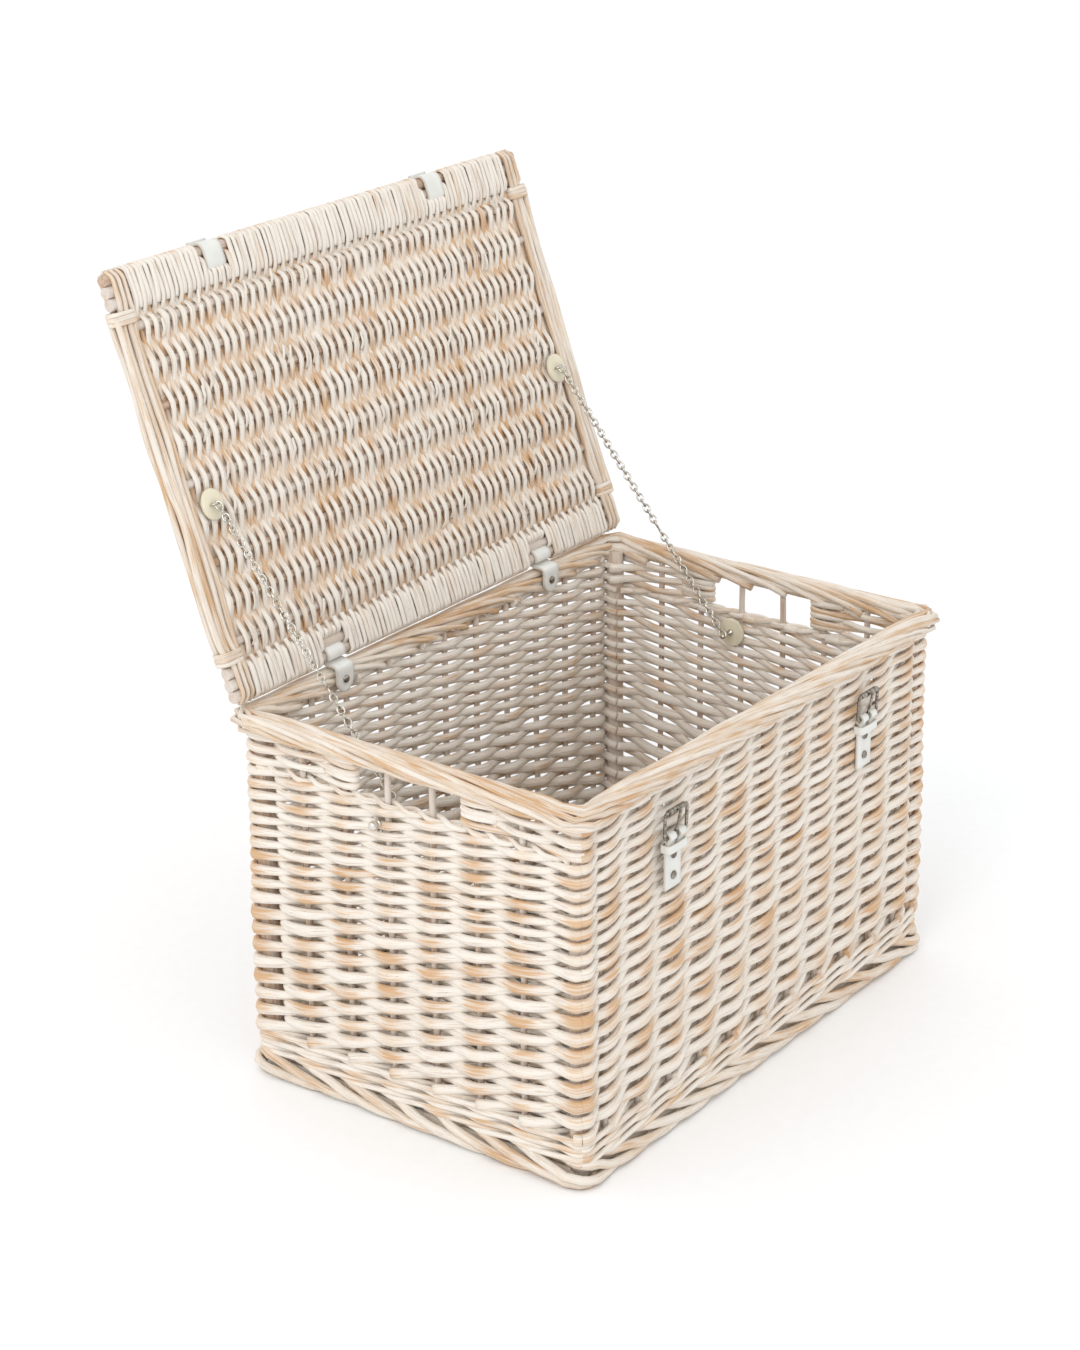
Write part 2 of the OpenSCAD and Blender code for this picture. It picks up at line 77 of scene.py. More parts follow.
def swept(name, runs, lie, section, edge=False, threads=None):
    """Draws a section along each run, with its first axis kept towards lie.
    A run's columns are x, y and z in millimetres, the section's two half sizes, and the rub."""
    threads = threads or [thread() for run in runs]
    runs = [np.asarray(run, float) for run in runs]
    lie = np.asarray(lie, float)
    section = np.asarray(section, float)
    sides = len(section)
    steps = [np.linalg.norm(np.diff(run[:, :3], axis=0), axis=1) for run in runs]
    total = sum(step.sum() for step in steps)
    girth = 2 * math.pi * np.mean([run[:, 3:5].mean() for run in runs])
    rows = max(1, round(math.sqrt(total / girth)))
    row_l = total / rows
    strip_l = row_l + max(step.max() for step in steps) + 1
    across_v = 0.06 + 0.88 * np.arange(sides + 1) / sides
    points, grains, tones, rubs, quads, uvs, caps, cap_uvs = [], [], [], [], [], [], [], []
    base, gone = 0, 0.0
    for run, step, (start, tone) in zip(runs, steps, threads):
        spine = run[:, :3]
        looped = np.allclose(spine[0], spine[-1], atol=0.01)
        way = np.gradient(spine, axis=0)
        if looped:
            way[0] = way[-1] = spine[1] - spine[-2]
        way /= np.linalg.norm(way, axis=1, keepdims=True)
        side = lie - way * (way @ lie)[:, None]
        side /= np.linalg.norm(side, axis=1, keepdims=True)
        up = np.cross(way, side)
        wide = run[:, 3, None] * section[:, 0]
        thick = run[:, 4, None] * section[:, 1]
        ring = spine[:, None] + side[:, None] * wide[..., None] + up[:, None] * thick[..., None]
        points.append(ring.reshape(-1, 3))
        along = np.concatenate([[0], np.cumsum(step)])
        grain = np.stack([np.broadcast_to(along[:, None], wide.shape), wide, thick], -1) + start
        grains.append(grain.reshape(-1, 3))
        tones.append(np.full(ring.shape[0] * sides, tone))
        shape = np.abs(section[:, 0]) ** 6 if edge else np.ones(sides)
        rubs.append((run[:, 5, None] * shape).ravel())
        k = np.arange(len(run) - 1)[:, None] * sides
        i = np.arange(sides)[None]
        j = (i + 1) % sides
        quads.append(base + np.stack([k + i, k + j, k + sides + j, k + sides + i], -1).reshape(-1, 4))
        first = gone + along[:-1]
        row = np.minimum(first // row_l, rows - 1)
        u0 = ((first - row * row_l) / strip_l)[:, None] + 0 * i
        u1 = u0 + (step / strip_l)[:, None]
        v0 = (row[:, None] + across_v[:-1]) / rows
        v1 = (row[:, None] + across_v[1:]) / rows
        uvs.append(np.stack([u0, v0, u0, v1, u1, v1, u1, v0], -1).reshape(-1, 2))
        if not looped:
            ends = base + np.array([np.arange(sides)[::-1], (len(run) - 1) * sides + np.arange(sides)])
            caps.extend(ends.tolist())
            for at in (0, -1):
                cap_uvs.extend([[float((u0, u1)[at][at, 0]), float(v0[at, n])] for n in range(sides)])
        base += len(run) * sides
        gone += step.sum()
    quads = np.vstack(quads)
    mesh = bpy.data.meshes.new(name)
    mesh.from_pydata((np.vstack(points) / 1000).tolist(), [], quads.tolist() + caps)
    flat_uv = np.vstack(uvs + ([np.array(cap_uvs)] if caps else []))
    mesh.uv_layers.new(name="OFBake").data.foreach_set("uv", flat_uv.astype(np.float32).ravel())
    rounded = np.arange(len(mesh.polygons)) < len(quads)
    mesh.polygons.foreach_set("use_smooth", rounded)
    for label, kind, key, values in (
        ("grain", "FLOAT_VECTOR", "vector", np.vstack(grains) / 1000),
        ("tone", "FLOAT", "value", np.concatenate(tones)),
        ("rub", "FLOAT", "value", np.concatenate(rubs)),
    ):
        mesh.attributes.new(label, kind, "POINT").data.foreach_set(key, values.astype(np.float32).ravel())
    mesh.update()
    piece = bpy.data.objects.new(name, mesh)
    bpy.context.collection.objects.link(piece)
    return piece


def rods(name, runs, lie, flat=1.0, sides=8, threads=None):
    """Round rods. A run's columns are x, y, z, radius and rub; flat thins them across lie."""
    turn = 2 * math.pi * np.arange(sides) / sides
    full = [np.column_stack([run[:, :3], run[:, 3], run[:, 3] * flat, run[:, 4]]) for run in runs]
    return swept(name, full, lie, np.stack([np.cos(turn), np.sin(turn)], -1), threads=threads)


def rod(points, radius, rub=0.5, steps=4, wander=0.0, thin=0.0):
    """One rod's run from its points, a little crooked and, with thin, thinner towards its far end."""
    p = np.asarray(points, float)
    p = p + chance.normal(0, 1, p.shape) * wander
    r = radius * (1 - thin * np.linspace(0, 1, len(p))) * chance.normal(1, 0.03, len(p))
    return smooth(np.column_stack([p, r, np.full(len(p), rub)]), steps)


class Finish:
    """One socket of a material, so that a finish is written as arithmetic."""

    def __init__(self, tree, socket=None):
        self.tree = tree
        self.socket = socket

    def node(self, kind, settings=None, inputs=None, out=0):
        made = self.tree.nodes.new(kind)
        for key, value in (settings or {}).items():
            setattr(made, key, value)
        for key, value in (inputs or {}).items():
            if isinstance(value, Finish):
                self.tree.links.new(value.socket, made.inputs[key])
            else:
                made.inputs[key].default_value = value
        return Finish(self.tree, made.outputs[out])

    def maths(self, operation, a, b):
        return self.node("ShaderNodeMath", {"operation": operation}, {0: a, 1: b})

    def __add__(self, other):
        return self.maths("ADD", self, other)

    def __rsub__(self, other):
        return self.maths("SUBTRACT", other, self)

    def __mul__(self, other):
        return self.maths("MULTIPLY", self, other)

    __radd__ = __add__

    def held(self, name, out=2):
        """A value that the rods carry."""
        return self.node("ShaderNodeAttribute", {"attribute_name": name}, out=out)

    def noise(self, where, stretch, detail=3.0):
        """Cloudy noise, stretched by this many spots a metre along each axis of where."""
        spread = self.node("ShaderNodeVectorMath", {"operation": "MULTIPLY"}, {0: where, 1: stretch})
        return self.node("ShaderNodeTexNoise", {}, {"Vector": spread, "Scale": 1.0, "Detail": detail})

    def step(self, low, high):
        """From 0 at low to 1 at high, smoothly."""
        limits = {"Value": self, "From Min": low, "From Max": high}
        return self.node("ShaderNodeMapRange", {"interpolation_type": "SMOOTHSTEP"}, limits)

    def mix(self, a, b):
        """Colour a where this is 0 and colour b where it is 1."""
        return self.node("ShaderNodeMix", {"data_type": "RGBA"}, {0: self, 6: a, 7: b}, out=2)

    def bump(self, strength, depth):
        return self.node("ShaderNodeBump", {}, {"Strength": strength, "Distance": depth, "Height": self})


def colour(red, green, blue):
    """A colour as a paint chart gives it, 0 to 255, for a shader."""
    parts = [c / 255 for c in (red, green, blue)]
    return tuple(c / 12.92 if c < 0.04 else ((c + 0.055) / 1.055) ** 2.4 for c in parts) + (1.0,)


def finish(name, **fixed):
    """A new material, its shader and an empty value to start its arithmetic from."""
    made = bpy.data.materials.new(name)
    made.use_nodes = True
    shader = made.node_tree.nodes["Principled BSDF"]
    for key, value in fixed.items():
        shader.inputs[key.replace("_", " ")].default_value = value
    return made, shader, Finish(made.node_tree)


def lay(made, shader, **values):
    """Joins values to the shader's sockets."""
    for key, value in values.items():
        made.node_tree.links.new(value.socket, shader.inputs[key.replace("_", " ")])
    return made


def willow(name, wood, deep, wash, cover, rubbed):
    """Peeled willow under thin white wash: the wash lies in the grain and is rubbed off proud places."""
    made, shader, paint = finish(name, Specular_IOR_Level=0.35)
    grain = paint.held("grain", 1)
    tone = paint.held("tone")
    rub = paint.held("rub")
    streak = paint.noise(grain, (30.0, 560.0, 560.0), 4.0)
    patch = paint.noise(grain, (14.0, 90.0, 90.0), 2.0)
    fleck = paint.noise(grain, (300.0, 900.0, 900.0), 2.0)
    bare = (streak * 1.3 + patch * 0.9 + tone * 0.3 + rub * rubbed).step(cover, cover + 0.5)
    timber = (tone * 0.5 + patch * 0.4 + streak * 0.5).step(0.35, 1.05).mix(wood, deep)
    worn = (bare * 0.94).mix(wash, timber)
    line = (1.0 - streak).step(0.5, 0.68) * 0.5
    lined = line.mix(worn, colour(190, 166, 144))
    speck = fleck.step(0.68, 0.76) * 0.5
    lay(made, shader, Base_Color=speck.mix(lined, colour(140, 104, 78)))
    lay(made, shader, Roughness=0.74 - bare * 0.2)
    return lay(made, shader, Normal=(streak * 0.8 + fleck * 0.4).bump(0.6, 0.0008))


def place(piece, finished, slot, body, *nodes):
    """Gives a piece its finish and rides it with its body, in place of the solids it stands for."""
    piece.data.materials.append(finished)
    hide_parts(*nodes)
    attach(piece, body)


buff_willow = willow(
    "buff_willow", colour(225, 197, 164), colour(202, 160, 115), colour(233, 226, 216), 1.42, 0.46
)
stick_willow = willow(
    "stick_willow", colour(208, 184, 160), colour(178, 144, 114), colour(214, 205, 196), 1.22, 0.3
)

base_low, base_high = mm("base_panel")
base_mid = (base_low[2] + base_high[2]) / 2
base_ys = (np.arange(7) - 3) * (base_high[1] - base_low[1]) / 7
base_runs = [
    rod([(x, y, base_mid) for x in np.linspace(base_low[0], base_high[0], 14)], 4.0, 0.6, 2, 0.25)
    for y in base_ys
]
place(rods("base_sticks_v", base_runs, (0, 0, 1)), stick_willow, "willow_stake", "basket", "base_sticks")

base_weave = []
for n, x in enumerate(np.arange(base_low[0] + 4, base_high[0] - 3, 6.4)):
    side = 1 if n % 2 else -1
    spine = [(x, base_low[1] + 1, base_mid)]
    for m, y in enumerate(base_ys):
        if m:
            spine.append((x, (y + base_ys[m - 1]) / 2, base_mid))
        spine.append((x, y, base_mid + 4.8 * side * (1 if m % 2 else -1)))
    spine.append((x, base_high[1] - 1, base_mid))
    base_weave.append(rod(spine, 2.9, 0.5, 4, 0.2))
place(rods("base_weave", base_weave, (1, 0, 0), 0.62, 6), buff_willow, "willow", "basket", "base_panel")

# ---- Stakes and corner posts ----
# Straight willow stakes stand in the walls, eleven in each long side and six in each end, with a
# thick post in each corner. The two middle stakes of each end cross the open hand hole.
long_n = 11
end_n = 6
stake_r = 3.0
post_r = 9.0
wall_low, wall_high = mm("wall_front")
wall_half = (wall_high[1] - wall_low[1]) / 2
plane_y = -wall_low[1] - wall_half
plane_x = wall_high[0] - wall_half
post_low, post_high = mm("corner_posts")
post_x = post_high[0] - post_r
post_y = post_high[1] - post_r
long_xs = (np.arange(long_n) - (long_n - 1) / 2) * 2 * post_x / (long_n + 0.15)
end_ys = (np.arange(end_n) - (end_n - 1) / 2) * 2 * post_y / (end_n + 1.2)
foot_z = mm("wale_front")[0][2]
rim_low, rim_high = mm("rim_front")
hole_half = 57.0


def upright(x, y, low, radius, rub, bend):
    """A stake or post, slightly crooked between its foot and the rim."""
    heights = np.linspace(low, rim_low[2] + 6, 9)
    return rod([(x, y, z) for z in heights], radius, rub, 3, bend)


hole_ys = [y for y in end_ys if abs(y) < hole_half - 2 * stake_r]
beside_ys = [y for y in end_ys if abs(y) > hole_half]
stakes = [upright(x, y, foot_z, stake_r, 0.25, 0.3) for x in long_xs for y in (-plane_y, plane_y)]
stakes += [upright(x, y, foot_z, stake_r, 0.25, 0.3) for x in (-plane_x, plane_x) for y in beside_ys]
place(rods("wall_stakes", stakes, (1, 0, 0)), stick_willow, "willow_stake", "basket", "side_stakes")
crossing = [upright(x, y, foot_z, stake_r, 0.3, 0.35) for x in (-plane_x, plane_x) for y in hole_ys]
place(rods("hole_stakes", crossing, (1, 0, 0)), stick_willow, "willow_stake", "basket", "handle_stakes")
posts = [upright(x, y, post_low[2], post_r, 0.7, 0.15) for x in (-post_x, post_x) for y in (-post_y, post_y)]
place(rods("posts", posts, (1, 0, 0), 1.0, 14), stick_willow, "willow_stake", "basket", "corner_posts")

# ---- Upsett: the wale that locks the stakes above the foot ----
# Three rods at a time are twisted round the whole basket, each passing in front of two stakes and
# behind one, in three level rounds pressed tight on the border under them.
turn_r = 12.0
long_side = 2 * (plane_x - turn_r)
end_side = 2 * (plane_y - turn_r)
bend = math.pi / 2 * turn_r
lap = 2 * long_side + 2 * end_side + 4 * bend
stations = long_n * 2 + end_n * 2 + 4
corners = [long_n, long_n + end_n + 1, 2 * long_n + end_n + 2, stations - 1]
gone_round = np.concatenate(
    [
        long_xs - long_side / 2,
        [bend / 2],
        bend + end_ys + end_side / 2,
        [1.5 * bend + end_side],
        2 * bend + end_side + long_side / 2 + long_xs,
        [2.5 * bend + end_side + long_side],
        3 * bend + end_side + long_side + end_side / 2 + end_ys,
        [3.5 * bend + 2 * end_side + long_side],
    ]
)
plan_angles = np.concatenate([np.linspace(90 * q - 90, 90 * q, 9) for q in range(4)])
corner_signs = [(1, -1), (1, 1), (-1, 1), (-1, -1)]
plan_centres = np.repeat(corner_signs, 9, axis=0)
plan_out = np.stack([np.cos(np.radians(plan_angles)), np.sin(np.radians(plan_angles))], -1)
plan_at = plan_centres * (plane_x - turn_r, plane_y - turn_r) + plan_out * turn_r
straights = (0, end_side, end_side + long_side, 2 * end_side + long_side)
plan_along = np.concatenate([q * bend + straights[q] + np.linspace(0, bend, 9) for q in range(4)])
plan_along = np.append(plan_along, lap)
plan_at = np.vstack([plan_at, plan_at[0]])
plan_out = np.vstack([plan_out, plan_out[0]])
station_along = np.append(gone_round, gone_round[0] + lap)


def round_wall(s, out, z):
    """A point out from the stakes' plane, at a place counted in stakes from the front's left end."""
    where = np.interp(s % stations, np.arange(stations + 1), station_along) % lap
    at = [np.interp(where, plan_along, plan_at[:, n]) for n in (0, 1)]
    face = np.array([np.interp(where, plan_along, plan_out[:, n]) for n in (0, 1)])
    face /= np.linalg.norm(face)
    return at[0] + face[0] * out, at[1] + face[1] * out, z


def round_post(station, turn, reach, z):
    """A point on the outer side of a corner post, turned from the corner's diagonal."""
    sx, sy = corner_signs[corners.index(station)]
    angle = math.atan2(sy, sx) + math.radians(turn)
    return sx * post_x + reach * math.cos(angle), sy * post_y + reach * math.sin(angle), z


wale_low, wale_high = mm("wale_front")
wale_rounds = 3
wale_rise = (wale_high[2] - wale_low[2]) / wale_rounds
wale_r = 2.85
wale_reach = stake_r + wale_r * 0.8
wale_runs = []
for lap_n in range(wale_rounds):
    level = wale_low[2] + (lap_n + 0.5) * wale_rise
    for strand in range(3):
        spine = []
        for k in range(-1, stations):
            phase = (k + lap_n - strand) % 3
            z = level + (0.4, -2.0, 2.1)[phase] + chance.normal(0, 0.25)
            if k % stations in corners:
                if phase:
                    for turn in (-32, 0, 32):
                        spine.append(round_post(k % stations, turn, post_r + wale_r, z) + (wale_r, 0.7))
                else:
                    spine.append(round_post(k % stations, 180, post_r + wale_r, z) + (wale_r, 0.3))
            else:
                out = wale_reach if phase else -wale_reach
                spine.append(round_wall(k, out, z) + (wale_r, 0.7 if phase else 0.3))
            middle = (0.0, wale_reach, 0.0)[phase]
            following = (-0.8, 0.0, 1.6)[phase]
            spine.append(round_wall(k + 0.5, middle, level + following) + (wale_r, 0.35))
        wale_runs.append(smooth(spine[:-1], 4))
place(
    rods("upsett", wale_runs, (0, 0, 1), 0.9),
    buff_willow, "willow_border", "basket", "wale_front", "wale_rear", "wale_left", "wale_right",
)

# ---- Foot: the border under the basket ----
# The rods' thick ends are turned down outside the stakes and laid one over the next in a plait,
# which is the foot that the trunk stands on. One more rod lies along inside it and closes it.
border_willow = willow(
    "border_willow", colour(222, 195, 161), colour(196, 155, 110), colour(229, 221, 210), 1.24, 0.3
)
foot_path = np.array(
    [
        (-0.25, -2.0, 26),
        (0.02, 2.6, 22.5),
        (0.45, 6.2, 17.0),
        (0.95, 8.0, 11.5),
        (1.45, 8.0, 7.6),
        (1.95, 5.6, 5.4),
        (2.4, 1.5, 5.2),
    ]
)


def laid(k, path, corner_out, spread):
    """A border rod from stake k: each row of its path is stakes along, millimetres out and height."""
    path = path + chance.normal(0, 1, path.shape) * spread
    spine = []
    for along, out, z in smooth(path, 4):
        near = min(abs((k + along - c + stations / 2) % stations - stations / 2) for c in corners)
        spine.append(round_wall(k + along, out + corner_out * math.exp(-((near / 0.28) ** 2)), z))
    return spine


foot_runs = []
for k in range(stations):
    spine = laid(k, foot_path, 3.5, (0.04, 0.5, 0.4))
    foot_runs.append(rod(spine, 5.0 * chance.uniform(0.92, 1.05), 0.4, 1, 0.0, 0.15))
spine = [round_wall(k / 2, -8, 6) for k in range(2 * stations)]
foot_runs.append(rod(spine + spine[:1], 4.5, 0.4, 2))
place(
    rods("foot_border", foot_runs, (0, 0, 1)),
    border_willow, "willow_border", "basket", "foot_front", "foot_rear", "foot_left", "foot_right",
)

# ---- Walls: slanting weave round the whole basket ----
# One rod starts behind each stake and they climb together, each in front of one stake and behind
# the next. The rods are thick low down and thinner above, so the rounds come closer.
hole_z = 318.0
passes = 46
round_rise = ((7, 12), (16.5, 12.0))
rise_at = np.arange(0, 31)
climbed = np.append(0, np.cumsum(np.interp(rise_at + 0.5, *round_rise)))[:-1]


def weave_z(rounds):
    """How high the weave stands after this many rounds."""
    return wall_low[2] + np.interp(rounds, rise_at, climbed)


def weave_r(rounds):
    """A weaving rod's radius in this round."""
    return 0.3 * np.interp(rounds, *round_rise)


def weave_side(s):
    """Which wall a place belongs to: 0 front, 1 right, 2 rear, 3 left."""
    return sum(s % stations > c for c in corners) % 4


wall_runs = [[], [], [], []]
wall_threads = [[], [], [], []]
strand_threads = []
for strand in range(stations):
    girth = chance.normal(1, 0.035)
    sag = chance.normal(0, 0.35)
    spine = []
    for k in range(strand, strand + passes):
        rounds = (k - strand) / 2
        outside = (k - strand) % 2 == 0
        radius = weave_r(rounds) * girth
        reach = stake_r + 0.72 * radius - 0.2
        z = weave_z(rounds) + sag + chance.normal(0, 0.35)
        rub = 0.85 if outside else 0.45
        if k % stations in corners:
            past_post = post_r + 0.8 * radius
            if outside:
                for turn in (-34, 0, 34):
                    height = weave_z(rounds + turn / 34 * 0.06) + sag
                    at = round_post(k % stations, turn, past_post, height)
                    spine.append(at + (radius * 1.34, rub, k + turn / 500))
            else:
                spine.append(round_post(k % stations, 180, past_post, z) + (radius, rub, k))
        else:
            spine.append(round_wall(k, reach if outside else -reach, z) + (radius * 1.22, rub, k))
        half = weave_z(rounds + 0.25) + sag
        spine.append(round_wall(k + 0.5, chance.normal(0, 0.3), half) + (radius, 0.1, k + 0.5))
    spine = np.array(spine)
    places = spine[:, 5]
    final = len(spine) - 1
    breaks = [0, *(n for n in range(1, final) if places[n] % stations in corners), final]
    curve = smooth(spine, 5)
    along = np.append(0, np.cumsum(np.linalg.norm(np.diff(curve[:, :3], axis=0), axis=1)))
    start, tone = thread()
    strand_threads.append((start, tone))
    for a, b in zip(breaks[:-1], breaks[1:]):
        part = curve[a * 5 : b * 5 + 1]
        side = weave_side((places[a] + places[b]) / 2)
        top = hole_z - 3 if side in (1, 3) else rim_low[2] + 2
        part = part[part[:, 2] < top]
        if len(part) > 2:
            wall_runs[side].append(part[:, :5])
            wall_threads[side].append((start + (along[a * 5], 0, 0), tone))

# Beside each hand hole short rods are woven to and fro between the corner post and the last stake,
# and two rods twisted together close the weave under the hole.
short_rs = np.array([4.8, 4.8, 4.6, 3.8] + [3.3] * 8)
last_stake, next_stake, hole_edge = 122.0, 75.0, 59.5
for side, sx in ((1, 1), (3, -1)):
    for sy in (-1, 1):
        corner = corners[corner_signs.index((sx, sy))]
        for n in range(30, 60):
            z = weave_z(n / 2)
            if not hole_z - 3 < z < rim_low[2] + 2:
                continue
            out = -1 if n % 2 else 1
            inner = 1 if n % 2 else -1
            path = [
                (post_x + out * 2.2, post_y + out * 11.4, 0),
                (post_x + out * 8.2, post_y + out * 8.2, 0),
                (post_x + out * (post_r + 2.2), post_y - 3, 0),
                (plane_x, (post_y + last_stake) / 2, 0.5),
                (plane_x + inner * 5.2, last_stake, 1),
                (plane_x, 98, 1.5),
                (plane_x + out * 5.0, next_stake, 2),
                (plane_x + out * 3.5, 62, 2.6),
                (plane_x, hole_edge, 3),
                (plane_x - out * 3.5, 62, 3.4),
                (plane_x - out * 5.0, next_stake, 4),
                (plane_x, 96, 4),
            ]
            spine = [(sx * x, sy * y, z + up) for x, y, up in path]
            wall_runs[side].append(rod(spine, short_rs, 0.5, 4, 0.15))
            wall_threads[side].append(strand_threads[(corner - n) % stations])
    for twist in (0, 1):
        spine = []
        for n, y in enumerate(np.linspace(-post_y + 2, post_y - 2, 29)):
            swing = math.pi * n / 2 + math.pi * twist
            spine.append((sx * (plane_x + 4.6 * math.cos(swing)), y, hole_z - 3.2 + 1.6 * math.sin(swing)))
        wall_runs[side].append(rod(spine, 2.9, 0.4, 4, 0.1))
        wall_threads[side].append(thread())

for side, name in enumerate(("front", "right", "rear", "left")):
    weave = rods(f"weave_{name}", wall_runs[side], (0, 0, 1), 0.68, 8, wall_threads[side])
    place(weave, buff_willow, "willow", "basket", f"wall_{name}")

# ---- Rim: the border round the top of the basket ----
# The stakes' ends and extra rods are laid down inside, carried over the top and tucked away outside,
# so the rim is a thick band of long rods that slant gently across it. Three more rods fill it inside.
rim_path = np.array(
    [
        (0, -3.6, 348),
        (0.5, -4.9, 355),
        (1.3, -3.4, 362.4),
        (2.4, 1.2, 365.5),
        (3.6, 6.6, 365.2),
        (4.8, 11.4, 362.4),
        (5.9, 12.9, 356.5),
        (6.7, 10.4, 351),
        (7.2, 6.6, 350),
    ]
)
rim_runs = []
rim_n = 44
for n in range(rim_n):
    spine = laid(n * stations / rim_n, rim_path, 6.5, (0.1, 0.5, 0.35))
    rim_runs.append(rod(spine, 3.9 * chance.uniform(0.75, 1.06), 0.5, 1, 0.0, 0.3))
for out, z, radius in ((-0.5, 356, 5.2), (7, 356.5, 5.6), (3, 353, 5.2)):
    spine = [round_wall(k / 2, out, z) for k in range(2 * stations)]
    rim_runs.append(rod(spine + spine[:1], radius, 0.4, 2))
place(
    rods("rim_border", rim_runs, (0, 0, 1)),
    border_willow, "willow_border", "basket", "rim_front", "rim_rear", "rim_left", "rim_right",
)

# ---- Lid: sticks and weave ----
# Nine sticks run the length of the lid between three thicker ones along each long edge. Thin rods are
# woven across them and wrapped over the edge sticks, and short flat rods between the sticks close
# the weave.
hinge = frame["record"]["behaviour"]["joints"][0]
hinge_y, hinge_z = (1000 * v for v in hinge["pos_m"][1:])
lid_open = math.radians(hinge["range_deg"][1])
# A place on the lid is x, the distance u from the hinge, and the height w when it is shut.
u_way = np.array([0, -math.cos(lid_open), math.sin(lid_open)])
w_way = np.array([0, math.sin(lid_open), math.cos(lid_open)])


def on_lid(run):
    """Moves a run from the lid's own x, u and w to where the open lid stands."""
    run = np.array(run, float)
    at = run[:, 1:2] * u_way + run[:, 2:3] * w_way + (0, hinge_y, hinge_z)
    at[:, 0] = run[:, 0]
    return np.column_stack([at, run[:, 3:]])


edge_r = 5.5
edge_step = 11.1
rear_us = [0.0, edge_step, 2 * edge_step]
past_rim = 1.5
front_u = hinge_y - rim_low[1] + past_rim - edge_r
front_us = [front_u - n * edge_step for n in range(3)]
lid_us = np.linspace(rear_us[2] + edge_r, front_us[2] - edge_r, 10)
lid_us = (lid_us[1:] + lid_us[:-1]) / 2
end_in = mm("wall_right")[0][0]
end_out = mm("wall_right")[1][0]
lid_half = end_in
edge_half = rim_high[0] - 3
stick_r = 4.5
lift = 1.9
strap_x = 161.0


def lid_stick(u, reach, radius):
    return on_lid(rod([(x, u, 0) for x in np.linspace(-reach, reach, 16)], radius, 0.4, 2, 0.15))


place(
    rods("lid_weave_sticks", [lid_stick(u, lid_half + 6, stick_r) for u in lid_us], (0, 0, 1)),
    stick_willow, "willow_stake", "lid", "lid_sticks",
)
place(
    rods("front_edge_sticks", [lid_stick(u, edge_half, edge_r) for u in front_us], (0, 0, 1), 1.0, 12),
    stick_willow, "willow_stake", "lid", "lid_front_sticks",
)
place(
    rods("rear_edge_sticks", [lid_stick(u, edge_half, edge_r) for u in rear_us], (0, 0, 1), 1.0, 12),
    stick_willow, "willow_stake", "lid", "lid_rear_sticks",
)


def wrap(x, us, side, last):
    """How a rod goes out over the edge sticks on one face, round the last and back on the other."""
    away = 1 if us[0] > us[2] else -1
    reach = edge_r + lift
    path = [(x, us[2], side * reach)]
    if last < 2:
        path.append((x, us[last], side * reach))
    for turn in (50, 0, -50):
        angle = math.radians(turn)
        path.append((x, us[last] + away * reach * math.cos(angle), side * reach * math.sin(angle)))
    path.append((x, us[last], -side * reach))
    if last < 2:
        path.append((x, us[2], -side * reach))
    path.append((x, us[2] - away * 9, -side * 4.5))
    return path


weave_step = 5.8
lid_runs = []
for n in range(int(2 * lid_half / weave_step)):
    x = -lid_half + (n + 0.5) * weave_step + 1.5
    side = 1 if n % 2 else -1
    off = min(abs(x - strap_x), abs(x + strap_x))
    rear_last = 2 if off < 14.5 else 1 if off < 20 else 0
    spine = wrap(x, rear_us, side, rear_last)[::-1]
    for m, u in enumerate(lid_us):
        spine.append((x, u - (lid_us[1] - lid_us[0]) / 2, 0))
        spine.append((x, u, side * (stick_r + lift) * (1 if m % 2 else -1)))
    spine.append((x, front_us[2] - 12, side * 3.0))
    spine += wrap(x, front_us, side, rear_last)
    at = np.array(spine)
    at[:, 0] += chance.normal(0, 0.4, len(at)) + chance.normal(0, 0.35)
    at[:, 2] += chance.normal(0, 0.15, len(at))
    rub = np.where(np.abs(at[:, 2]) > 2.0, 0.1, 0.8)
    inside = (at[:, 1] > 34) & (at[:, 1] < front_us[2] - 14)
    broad = np.where(inside, np.where(np.abs(at[:, 2]) > 2.0, 3.7, 3.3), 3.0)
    thick = broad * chance.normal(1, 0.06) * chance.normal(1, 0.03, len(at))
    lid_runs.append(on_lid(smooth(np.column_stack([at, thick, rub]), 3)))
    for a, b in zip((rear_us[2], *lid_us), (*lid_us, front_us[2])):
        between = [(x + 2.6, u, 0.0) for u in np.linspace(a + 4, b - 4, 4)]
        lid_runs.append(on_lid(rod(between, 3.6, 0.9, 1, 0.2)))
for n in range(70):
    x = chance.uniform(-lid_half + 12, lid_half - 12)
    u = chance.choice(lid_us) + chance.normal(0, 5)
    slant = chance.normal(0, 1.5)
    tip = [(x, u - 8, -3.0), (x + slant * 0.5, u - 2, -8.2)]
    tip += [(x + slant, u + 5, -9.6), (x + slant * 1.4, u + 8, -9.9)]
    lid_runs.append(on_lid(rod(tip, 2.1, 0.0, 3, 0.2, 0.35)))
place(rods("lid_weave", lid_runs, (1, 0, 0), 0.5, 6), buff_willow, "willow", "lid", "lid_panel")

